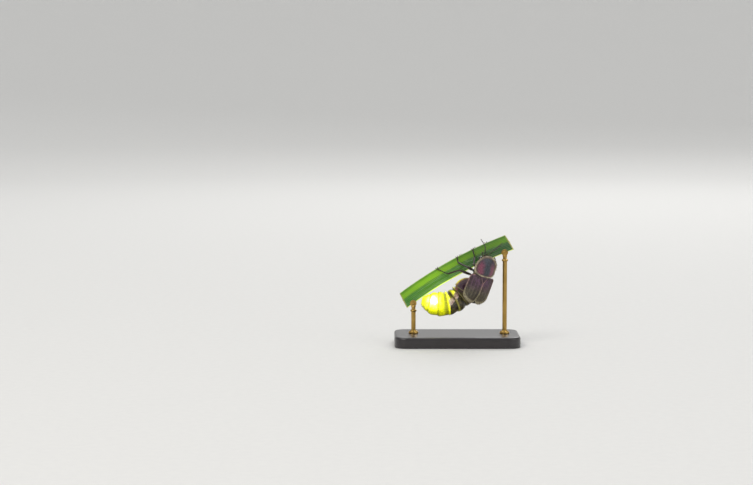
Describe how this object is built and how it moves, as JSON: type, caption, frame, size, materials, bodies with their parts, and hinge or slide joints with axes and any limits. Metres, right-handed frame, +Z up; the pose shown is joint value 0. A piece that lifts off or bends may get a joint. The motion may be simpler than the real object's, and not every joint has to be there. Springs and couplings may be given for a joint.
{
  "type": "firefly on a grass blade",
  "caption": "Life-size firefly with parted wing cases and a glowing lantern, hanging from a cut grass blade on a small display stand.",
  "frame": {"origin": "middle of the base's underside", "axes": "+Z up, +X along the grass blade to its upper end, +Y away from the viewer, behind the blade"},
  "size_m": [0.025, 0.014, 0.0221],
  "materials": {
    "shield": "satin cuticle, dark centre and pale clear rim",
    "wing_case": "dark purplish brown cuticle with fine down and pale margins",
    "cuticle": "dark brown satin cuticle",
    "abdomen": "dark back plates with pale edges and pinkish skin between",
    "lantern": "glowing yellow light organ",
    "tail": "pale yellowish cuticle",
    "limb": "dark brown satin cuticle with fine bristles",
    "eye": "glossy black compound eye",
    "grass": "fresh green leaf blade with parallel veins",
    "stand_base": "satin black",
    "stand_rod": "satin brass"
  },
  "bodies": {
    "root": {"perch_blade": "grass", "stand_base": "stand_base", "stand_rod_left": "stand_rod", "stand_rod_right": "stand_rod", "pronotum": "shield", "elytron_left": "wing_case", "elytron_right": "wing_case", "scutellum": "wing_case", "head": "limb", "thorax": "cuticle", "abdomen_front": "abdomen", "abdomen_middle": "abdomen", "lantern_front": "lantern", "lantern_rear": "lantern", "abdomen_tip": "tail", "eye_left": "eye", "eye_right": "eye", "antenna_left": "limb", "antenna_right": "limb", "leg_front_left": "limb", "leg_middle_left": "limb", "leg_hind_left": "limb", "leg_front_right": "limb", "leg_middle_right": "limb", "leg_hind_right": "limb"}
  },
  "joints": []
}
